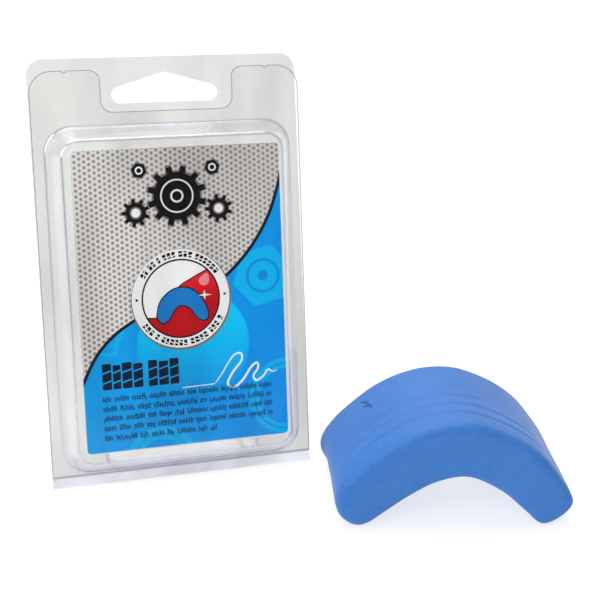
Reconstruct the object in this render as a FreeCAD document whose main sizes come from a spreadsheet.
"""Clay bar for car detailing, with the clear clamshell pack it is sold in.

The pack is one thermoformed sheet folded along its bottom edge: a back half with a
hang tab and a deep pocket for the bar, a front half with a shallow blister that holds
the printed card, and the living hinge between them. The bar, bent into an arch, stands
on its two ends beside the pack.

Frame: +X along the pack's width, +Y to the back, +Z up, millimetres. The row's origin is
on the table, under the middle of everything. The pack is drawn upright, with X along its
width, -Y to its front and Z up from its bottom edge, and leans back by its placement.
"""

import FreeCAD, Part
import math
import os

import Sketcher

DRIVING = {
    # the clamshell's sheet, and half of the gap between its closed halves
    "film": 0.45,
    "half_gap": 0.05,
    # flanges
    "pack_width": 85.4,
    "pack_height": 134.7,
    "tab_corner": 5.0,
    "flange_bottom": 3.7,
    "ear_height": 131.0,
    "ear_corner": 7.0,
    "notch_width": 41.5,
    "notch_bottom": 118.0,
    "notch_corner": 3.5,
    # hang hole: flat bottom, round ends, a peak in the middle
    "hang_width": 33.9,
    "hang_bottom": 120.5,
    "hang_peak": 129.8,
    "hang_end_radius": 2.6,
    "hang_peak_radius": 3.0,
    # front blister, from its base on the flange to its flat face
    "blister_width": 78.0,
    "blister_bottom": 4.4,
    "blister_top": 113.8,
    "blister_depth": 6.95,
    "blister_draft": 29.0,
    "blister_corner": 8.5,
    "blister_face_corner": 6.0,
    "blister_rounding": 1.5,
    # back pocket, from its mouth in the flange to its rear wall
    "pocket_width": 49.6,
    "pocket_bottom": 4.28,
    "pocket_top": 91.0,
    "pocket_depth": 17.0,
    "pocket_draft": 3.0,
    "pocket_corner": 5.0,
    "pocket_rear_corner": 4.0,
    "pocket_rounding": 1.5,
    # living hinge, a rolled strip along the bottom edge
    "hinge_radius": 1.8,
    "hinge_height": 1.862,
    # how the pack stands: it leans on the pocket's lower edge, and its front half has
    # sprung a little open
    "lean": 14.8,
    "ajar": 1.3,
    # printed card, loose in the blister
    "card_width": 66.7,
    "card_height": 95.6,
    "card_bottom": 11.5,
    "card_side_play": 0.8,
    "card_face": 6.6,
    "card_thickness": 0.4,
    "card_corner": 1.5,
    # the bar, bent about a point below the table, with one straight leg
    "bar_width": 45.0,
    "arch_radius": 39.75,
    "arch_hollow_radius": 21.1,
    "arch_drop": 4.2,
    "leg_angle": 45.0,
    "leg_length": 16.0,
    "left_heel": 33.0,
    "right_heel": 28.0,
    "right_end_height": 10.7,
    "end_rounding": 3.5,
    "toe_rounding": 1.2,
    "bar_rounding": 2.4,
    "bar_turn": -13.0,
    "bar_side": 74.4,
    "bar_forward": 52.3,
    # middle of the row's footprint, from the middle of the pack's bottom edge
    "row_middle_side": 38.348,
    "row_middle_back": -10.179,
}

doc = FreeCAD.newDocument("clay_bar_pack")
sheet = doc.addObject("Spreadsheet::Sheet", "Sizes")
for row, (alias, value) in enumerate(DRIVING.items(), start=1):
    sheet.set(f"A{row}", str(value))
    sheet.setAlias(f"A{row}", alias)
doc.recompute()


def size(alias):
    """The value of one cell of the sheet."""
    return getattr(sheet, alias)


def value_of(expression):
    """The number that an expression on the sheet's cells gives."""
    result = sheet.evalExpression(expression)
    return float(getattr(result, "Value", result))


def new_body(label):
    body = doc.addObject("PartDesign::Body", label)
    body.Label = label
    return body


def new_sketch(body, name, plane="XZ_Plane", level="0"):
    """A sketch on one of the body's own origin planes, lifted along its normal."""
    sketch = body.newObject("Sketcher::SketchObject", name)
    planes = {feature.Role: feature for feature in body.Origin.OriginFeatures}
    sketch.AttachmentSupport = [(planes[plane], "")]
    sketch.MapMode = "FlatFace"
    sketch.setExpression("AttachmentOffset.Base.z", level)
    return sketch


def hold(sketch, kind, *places, expression):
    """A dimension of a sketch, bound to the sheet."""
    number = sketch.addConstraint(Sketcher.Constraint(kind, *places, value_of(expression)))
    sketch.setExpression(f"Constraints[{number}]", expression)


def hold_from_origin(sketch, kind, edge, point, expression):
    """Holds a point's distance from the origin along one axis, on either side of it."""
    if value_of(expression) < 0:
        hold(sketch, kind, edge, point, -1, 1, expression=f"-({expression})")
    else:
        hold(sketch, kind, -1, 1, edge, point, expression=expression)


def draw_square_outline(sketch, corners):
    """A closed outline of level and upright lines, anticlockwise, with round corners.

    corners holds (x, z, radius) expressions, and a radius of None is a sharp corner.
    """
    count = len(corners)
    spots = [FreeCAD.Vector(value_of(x), value_of(z), 0) for x, z, _ in corners]
    radii = [value_of(radius) if radius else 0.0 for _, _, radius in corners]
    ways = [(spots[(i + 1) % count] - spots[i]).normalize() for i in range(count)]
    for i, way in enumerate(ways):
        end = (i + 1) % count
        start_point = spots[i] + way * radii[i]
        end_point = spots[end] - way * radii[end]
        sketch.addGeometry(Part.LineSegment(start_point, end_point))
        level = abs(way.y) < 0.5
        sketch.addConstraint(Sketcher.Constraint("Horizontal" if level else "Vertical", i))
        place = corners[i][1] if level else corners[i][0]
        hold_from_origin(sketch, "DistanceY" if level else "DistanceX", i, 1, place)
    for i, (_, _, radius) in enumerate(corners):
        before = (i - 1) % count
        if not radius:
            sketch.addConstraint(Sketcher.Constraint("Coincident", before, 2, i, 1))
            continue
        turn = ways[before].cross(ways[i]).z
        centre = spots[i] + (ways[i] - ways[before]) * radii[i]
        circle = Part.Circle(centre, FreeCAD.Vector(0, 0, 1), radii[i])
        arrive = circle.parameter(spots[i] - ways[before] * radii[i])
        leave = circle.parameter(spots[i] + ways[i] * radii[i])
        ends, first, last = ((arrive, leave), 1, 2) if turn > 0 else ((leave, arrive), 2, 1)
        arc = sketch.addGeometry(Part.ArcOfCircle(circle, *ends))
        sketch.addConstraint(Sketcher.Constraint("Tangent", before, 2, arc, first))
        sketch.addConstraint(Sketcher.Constraint("Tangent", arc, last, i, 1))
        hold(sketch, "Radius", arc, expression=radius)


def draw_rounded_rectangle(sketch, left, right, bottom, top, radius):
    corners = [(left, bottom), (right, bottom), (right, top), (left, top)]
    draw_square_outline(sketch, [(x, z, radius) for x, z in corners])


def pad(body, sketch, length, to_back=False):
    feature = body.newObject("PartDesign::Pad", sketch.Name + "_pad")
    feature.Profile = sketch
    feature.Reversed = to_back
    feature.setExpression("Length", length)
    return feature


def loft(body, kind, name, first, second):
    """Adds or removes the solid between two sketches with the same number of edges."""
    feature = body.newObject(f"PartDesign::{kind}", name)
    feature.Profile = first
    feature.Sections = [second]
    feature.Ruled = True
    return feature


def fillet(body, name, radius, chosen):
    """Rounds the edges of the body's tip for which chosen(edge) holds."""
    doc.recompute()
    base = body.Tip
    names = [f"Edge{i}" for i, edge in enumerate(base.Shape.Edges, start=1) if chosen(edge)]
    if not names:
        raise RuntimeError(f"{name}: no edge to round")
    feature = body.newObject("PartDesign::Fillet", name)
    feature.Base = (base, names)
    feature.setExpression("Radius", radius)
    doc.recompute()
    return feature


# how far two places may lie apart and still count as the same
SAME = 0.01
HALF_PACK = "Sizes.pack_width / 2"


def in_plane(depth):
    """Picks edges that lie at one depth, but not those on the flange's rim."""
    rim = size("pack_width") / 2

    def chosen(edge):
        box = edge.BoundBox
        flat = abs(box.YMin - depth) < SAME and abs(box.YMax - depth) < SAME
        return flat and max(-box.XMin, box.XMax) < rim - SAME

    return chosen


def build_tray(body, name, edges, corners, levels, draft, tapered_bottom, forward):
    """A tray of even wall pressed out of the flange: a solid hill, then its hollow.

    edges holds the half width, bottom and top at the base, corners the corner radius at the
    base and at the face, and levels the base's level and the tray's depth.
    """
    half_width, bottom, top = edges
    level, depth = levels
    side = "" if forward else "-"
    step = f"{depth} * tan({draft} * 1 deg)"
    thin = f"(Sizes.film / cos({draft} * 1 deg) - Sizes.film * tan({draft} * 1 deg))"
    bottom_step = step if tapered_bottom else "0"
    bottom_thin = thin if tapered_bottom else "Sizes.film"

    def section(label, inset, bottom_inset, radius, place):
        sketch = new_sketch(body, label, level=f"{side}({place})")
        draw_rounded_rectangle(
            sketch,
            f"-({half_width} - ({inset}))",
            f"{half_width} - ({inset})",
            f"{bottom} + {bottom_inset}",
            f"{top} - ({inset})",
            radius,
        )
        return sketch

    base_radius, face_radius = corners
    outside = (
        section(f"{name}_base", "0", "0", base_radius, f"{level} + Sizes.film"),
        section(f"{name}_face", step, bottom_step, face_radius, f"{level} + Sizes.film + {depth}"),
    )
    loft(body, "AdditiveLoft", f"{name}_hill", *outside)
    doc.recompute()
    inside = (
        section(f"{name}_mouth", thin, bottom_thin, f"{base_radius} - {thin}", level),
        section(
            f"{name}_floor",
            f"{step} + {thin}",
            f"{bottom_step} + {bottom_thin}",
            f"{face_radius} - {thin}",
            f"{level} + {depth}",
        ),
    )
    loft(body, "SubtractiveLoft", f"{name}_hollow", *inside)


def build_front_shell():
    """The clear front half: a flange with two ears beside the hang tab, and the blister."""
    body = new_body("front_shell")
    outline = new_sketch(body, "front_flange", level="Sizes.half_gap")
    half_notch = "Sizes.notch_width / 2"
    right_side = [
        (HALF_PACK, "Sizes.flange_bottom", None),
        (HALF_PACK, "Sizes.ear_height", "Sizes.ear_corner"),
        (half_notch, "Sizes.ear_height", "Sizes.notch_corner"),
        (half_notch, "Sizes.notch_bottom", "Sizes.notch_corner"),
    ]
    left_side = [(f"-({x})", z, radius) for x, z, radius in reversed(right_side)]
    draw_square_outline(outline, right_side + left_side)
    pad(body, outline, "Sizes.film")
    build_tray(
        body,
        "blister",
        ("Sizes.blister_width / 2", "Sizes.blister_bottom", "Sizes.blister_top"),
        ("Sizes.blister_corner", "Sizes.blister_face_corner"),
        ("Sizes.half_gap", "Sizes.blister_depth"),
        "Sizes.blister_draft",
        tapered_bottom=True,
        forward=True,
    )
    inner_face = -size("half_gap") - size("blister_depth")
    for name, depth, radius in (
        ("blister_outer_rounding", inner_face - size("film"), "Sizes.blister_rounding"),
        ("blister_inner_rounding", inner_face, "Sizes.blister_rounding - Sizes.film"),
    ):
        fillet(body, name, radius, in_plane(depth))
    return body


def draw_hang_hole(sketch):
    """Flat bottom, round ends, and two slopes that meet in a rounded peak."""
    end_radius, peak_radius = size("hang_end_radius"), size("hang_peak_radius")
    end_x = size("hang_width") / 2 - end_radius
    end_z = size("hang_bottom") + end_radius
    peak_z = size("hang_peak") - peak_radius
    reach = math.hypot(end_x, peak_z - end_z)
    slope = math.atan2(peak_z - end_z, -end_x)
    across = slope - math.acos((peak_radius - end_radius) / reach)
    out = FreeCAD.Vector(math.cos(across), math.sin(across), 0)
    mirrored = FreeCAD.Vector(-out.x, out.y, 0)
    normal = FreeCAD.Vector(0, 0, 1)
    right = FreeCAD.Vector(end_x, end_z, 0)
    left = FreeCAD.Vector(-end_x, end_z, 0)
    peak = FreeCAD.Vector(0, peak_z, 0)
    down = FreeCAD.Vector(0, -end_radius, 0)
    quarter = math.pi / 2
    right_circle = Part.Circle(right, normal, end_radius)
    left_circle = Part.Circle(left, normal, end_radius)
    peak_circle = Part.Circle(peak, normal, peak_radius)
    sketch.addGeometry(Part.LineSegment(left + down, right + down))
    sketch.addGeometry(Part.ArcOfCircle(right_circle, -quarter, across))
    slope_top, slope_end = peak + out * peak_radius, right + out * end_radius
    sketch.addGeometry(Part.LineSegment(slope_end, slope_top))
    sketch.addGeometry(Part.ArcOfCircle(peak_circle, across, math.pi - across))
    slope_top, slope_end = peak + mirrored * peak_radius, left + mirrored * end_radius
    sketch.addGeometry(Part.LineSegment(slope_top, slope_end))
    sketch.addGeometry(Part.ArcOfCircle(left_circle, math.pi - across, 3 * quarter))
    for edge in range(6):
        following = (edge + 1) % 6
        sketch.addConstraint(Sketcher.Constraint("Tangent", edge, 2, following, 1))
    middle_x = "Sizes.hang_width / 2 - Sizes.hang_end_radius"
    for edge, sign in ((1, ""), (5, "-")):
        hold(sketch, "Radius", edge, expression="Sizes.hang_end_radius")
        hold_from_origin(sketch, "DistanceX", edge, 3, f"{sign}({middle_x})")
    hold_from_origin(sketch, "DistanceY", 0, 1, "Sizes.hang_bottom")
    hold(sketch, "Radius", 3, expression="Sizes.hang_peak_radius")
    hold_from_origin(sketch, "DistanceY", 3, 3, "Sizes.hang_peak - Sizes.hang_peak_radius")


def build_back_shell():
    """The clear back half: a flange with the hang tab and the bar's pocket behind it."""
    body = new_body("back_shell")
    outline = new_sketch(body, "back_flange", level="-Sizes.half_gap")
    draw_square_outline(
        outline,
        [
            (f"-({HALF_PACK})", "Sizes.flange_bottom", None),
            (HALF_PACK, "Sizes.flange_bottom", None),
            (HALF_PACK, "Sizes.pack_height", "Sizes.tab_corner"),
            (f"-({HALF_PACK})", "Sizes.pack_height", "Sizes.tab_corner"),
        ],
    )
    pad(body, outline, "Sizes.film", to_back=True)
    build_tray(
        body,
        "pocket",
        ("Sizes.pocket_width / 2", "Sizes.pocket_bottom", "Sizes.pocket_top"),
        ("Sizes.pocket_corner", "Sizes.pocket_rear_corner"),
        ("Sizes.half_gap", "Sizes.pocket_depth"),
        "Sizes.pocket_draft",
        tapered_bottom=False,
        forward=False,
    )
    hole = new_sketch(body, "hang_hole", level="-Sizes.half_gap")
    draw_hang_hole(hole)
    pocket = body.newObject("PartDesign::Pocket", "hang_hole_cut")
    pocket.Profile = hole
    pocket.setExpression("Length", "Sizes.film")
    inner_rear = size("half_gap") + size("pocket_depth")
    for name, depth, radius in (
        ("pocket_outer_rounding", inner_rear + size("film"), "Sizes.pocket_rounding"),
        ("pocket_inner_rounding", inner_rear, "Sizes.pocket_rounding - Sizes.film"),
    ):
        fillet(body, name, radius, in_plane(depth))
    return body


def build_living_hinge():
    """The strip that joins the halves: a rolled bead, open on top between the flanges."""
    body = new_body("living_hinge")
    outer, inner = size("hinge_radius"), size("hinge_radius") - size("film")
    middle = FreeCAD.Vector(0, size("hinge_height"), 0)
    normal = FreeCAD.Vector(0, 0, 1)
    gap = size("half_gap")
    sketch = new_sketch(body, "hinge_section", plane="YZ_Plane", level=f"-({HALF_PACK})")
    open_outer, open_inner = math.acos(gap / outer), math.acos(gap / inner)
    for radius, angle in ((outer, open_outer), (inner, open_inner)):
        circle = Part.Circle(middle, normal, radius)
        sketch.addGeometry(Part.ArcOfCircle(circle, math.pi - angle, 2 * math.pi + angle))
    for point, angle in ((1, math.pi - open_outer), (2, open_outer)):
        way = FreeCAD.Vector(math.copysign(1, math.cos(angle)), 0, 0)
        top = middle + way * gap + FreeCAD.Vector(0, outer * math.sin(angle), 0)
        foot = middle + way * gap + FreeCAD.Vector(0, math.sqrt(inner**2 - gap**2), 0)
        line = sketch.addGeometry(Part.LineSegment(top, foot))
        sketch.addConstraint(Sketcher.Constraint("Coincident", 0, point, line, 1))
        sketch.addConstraint(Sketcher.Constraint("Coincident", 1, point, line, 2))
        sketch.addConstraint(Sketcher.Constraint("Vertical", line))
        sign = "-" if way.x < 0 else ""
        hold_from_origin(sketch, "DistanceX", line, 1, f"{sign}Sizes.half_gap")
    sketch.addConstraint(Sketcher.Constraint("Coincident", 0, 3, 1, 3))
    sketch.addConstraint(Sketcher.Constraint("PointOnObject", 0, 3, -2))
    hold_from_origin(sketch, "DistanceY", 0, 3, "Sizes.hinge_height")
    hold(sketch, "Radius", 0, expression="Sizes.hinge_radius")
    hold(sketch, "Radius", 1, expression="Sizes.hinge_radius - Sizes.film")
    pad(body, sketch, "Sizes.pack_width")
    return body


def build_insert_card():
    """The printed card, which lies loose in the front blister."""
    body = new_body("insert_card")
    sketch = new_sketch(body, "card_outline", level="Sizes.card_face - Sizes.card_thickness")
    draw_rounded_rectangle(
        sketch,
        "Sizes.card_side_play - Sizes.card_width / 2",
        "Sizes.card_side_play + Sizes.card_width / 2",
        "Sizes.card_bottom",
        "Sizes.card_bottom + Sizes.card_height",
        "Sizes.card_corner",
    )
    pad(body, sketch, "Sizes.card_thickness")
    return body


def draw_arch(sketch):
    """The bent bar from the front: a crown, a straight left leg and two soles at z = 0."""
    outer, inner, drop = size("arch_radius"), size("arch_hollow_radius"), size("arch_drop")
    lean_out = math.radians(size("leg_angle"))
    leg_start = math.pi / 2 + lean_out
    leg = FreeCAD.Vector(-math.sin(lean_out), -math.cos(lean_out), 0)
    middle, normal = FreeCAD.Vector(0, -drop, 0), FreeCAD.Vector(0, 0, 1)

    def on_circle(radius, angle):
        return middle + FreeCAD.Vector(math.cos(angle), math.sin(angle), 0) * radius

    right_end = math.asin((size("right_end_height") + drop) / outer)
    right_toe = math.asin(drop / inner)
    inner_top = on_circle(inner, leg_start)
    left_toe = inner_top + leg * (inner_top.y / -leg.y)
    left_end = on_circle(outer, leg_start) + leg * size("leg_length")
    left_heel = FreeCAD.Vector(-size("left_heel"), 0, 0)
    right_heel = FreeCAD.Vector(size("right_heel"), 0, 0)
    crown, hollow = Part.Circle(middle, normal, outer), Part.Circle(middle, normal, inner)
    sketch.addGeometry(Part.ArcOfCircle(crown, right_end, leg_start))
    stops = [on_circle(outer, leg_start), left_end, left_heel, left_toe, inner_top]
    for start, end in zip(stops, stops[1:]):
        sketch.addGeometry(Part.LineSegment(start, end))
    sketch.addGeometry(Part.ArcOfCircle(hollow, right_toe, leg_start))
    sole = sketch.addGeometry(Part.LineSegment(on_circle(inner, right_toe), right_heel))
    end_face = sketch.addGeometry(Part.LineSegment(right_heel, on_circle(outer, right_end)))

    sketch.addConstraint(Sketcher.Constraint("Tangent", 0, 2, 1, 1))
    sketch.addConstraint(Sketcher.Constraint("Coincident", 1, 2, 2, 1))
    sketch.addConstraint(Sketcher.Constraint("Coincident", 2, 2, 3, 1))
    sketch.addConstraint(Sketcher.Constraint("Coincident", 3, 2, 4, 1))
    sketch.addConstraint(Sketcher.Constraint("Tangent", 4, 2, 5, 2))
    sketch.addConstraint(Sketcher.Constraint("Coincident", 5, 1, sole, 1))
    sketch.addConstraint(Sketcher.Constraint("Coincident", sole, 2, end_face, 1))
    sketch.addConstraint(Sketcher.Constraint("Coincident", end_face, 2, 0, 1))
    sketch.addConstraint(Sketcher.Constraint("Coincident", 0, 3, 5, 3))
    sketch.addConstraint(Sketcher.Constraint("PointOnObject", 0, 3, -2))
    sketch.addConstraint(Sketcher.Constraint("Parallel", 1, 4))
    for edge, point in ((2, 2), (3, 2), (sole, 1), (sole, 2)):
        sketch.addConstraint(Sketcher.Constraint("PointOnObject", edge, point, -1))
    hold(sketch, "Radius", 0, expression="Sizes.arch_radius")
    hold(sketch, "Radius", 5, expression="Sizes.arch_hollow_radius")
    hold_from_origin(sketch, "DistanceY", 0, 3, "-Sizes.arch_drop")
    hold(sketch, "Distance", 1, expression="Sizes.leg_length")
    corner_x = (
        "-(Sizes.arch_radius * cos(Sizes.leg_angle * 1 deg)"
        " + Sizes.leg_length * sin(Sizes.leg_angle * 1 deg))"
    )
    hold_from_origin(sketch, "DistanceX", 1, 2, corner_x)
    hold_from_origin(sketch, "DistanceX", 2, 2, "-Sizes.left_heel")
    hold_from_origin(sketch, "DistanceX", sole, 2, "Sizes.right_heel")
    hold_from_origin(sketch, "DistanceY", end_face, 2, "Sizes.right_end_height")


def build_clay_bar():
    """The bar of detailing clay, bent into an arch by hand."""
    body = new_body("clay_bar")
    sketch = new_sketch(body, "arch")
    draw_arch(sketch)
    pad(body, sketch, "Sizes.bar_width", to_back=True)
    width = size("bar_width")
    left, right = -size("left_heel") + SAME, size("right_heel") - SAME
    # the upper corner of the left end face is the highest corner that is rounded
    end_top = size("arch_hollow_radius")

    def crosswise(edge):
        box = edge.BoundBox
        return abs(box.YLength - width) < SAME and max(box.XLength, box.ZLength) < SAME

    def toe(edge):
        centre = edge.CenterOfMass
        return crosswise(edge) and abs(centre.z) < SAME and left < centre.x < right

    def end(edge):
        centre = edge.CenterOfMass
        at_end = not left < centre.x < right
        return crosswise(edge) and at_end and centre.z < end_top

    def rim(edge):
        return edge.BoundBox.YLength < SAME

    fillet(body, "end_roundings", "Sizes.end_rounding", end)
    fillet(body, "toe_roundings", "Sizes.toe_rounding", toe)
    fillet(body, "rim_roundings", "Sizes.bar_rounding", rim)
    return body


def pack_placement():
    """From the upright pack's own axes to the row's: the pack leans back."""
    spot = FreeCAD.Vector(-size("row_middle_side"), -size("row_middle_back"), 0)
    return FreeCAD.Placement(spot, FreeCAD.Rotation(FreeCAD.Vector(1, 0, 0), -size("lean")))


def ajar_placement():
    """The front half's small turn about the living hinge, in the upright pack's axes."""
    hinge = FreeCAD.Vector(0, 0, size("hinge_height"))
    turn = FreeCAD.Rotation(FreeCAD.Vector(1, 0, 0), size("ajar"))
    return FreeCAD.Placement(FreeCAD.Vector(), turn, hinge)


def bar_placement():
    side = size("bar_side") - size("row_middle_side")
    back = -size("bar_forward") - size("row_middle_back")
    turn = FreeCAD.Rotation(FreeCAD.Vector(0, 0, 1), size("bar_turn"))
    return FreeCAD.Placement(FreeCAD.Vector(side, back, 0), turn)


leaning, ajar = pack_placement(), ajar_placement()
PARTS = {
    "back_shell": (build_back_shell(), leaning),
    "living_hinge": (build_living_hinge(), leaning),
    "front_shell": (build_front_shell(), leaning.multiply(ajar)),
    "insert_card": (build_insert_card(), leaning.multiply(ajar)),
    "clay_bar": (build_clay_bar(), bar_placement()),
}
for body, placement in PARTS.values():
    body.Placement = placement
doc.recompute()

for thing in doc.Objects:
    if "Invalid" in thing.State or "Error" in thing.State:
        raise RuntimeError(f"{thing.Name} did not recompute: {thing.State}")
    if thing.TypeId == "Sketcher::SketchObject" and thing.solve() != 0:
        raise RuntimeError(f"{thing.Name} did not solve")

os.makedirs("parts", exist_ok=True)
whole = FreeCAD.BoundBox()
for label, (body, _) in PARTS.items():
    shape = body.Shape
    if shape.isNull() or not shape.isValid() or len(shape.Solids) != 1:
        raise RuntimeError(f"{label} is not one valid solid")
    whole.add(shape.BoundBox)
    shape.exportStep(f"parts/{label}.step")
    print(f"{label}: {shape.Volume:.1f} cubic mm, {shape.BoundBox}")
print(f"whole: {whole}, middle {whole.Center}")
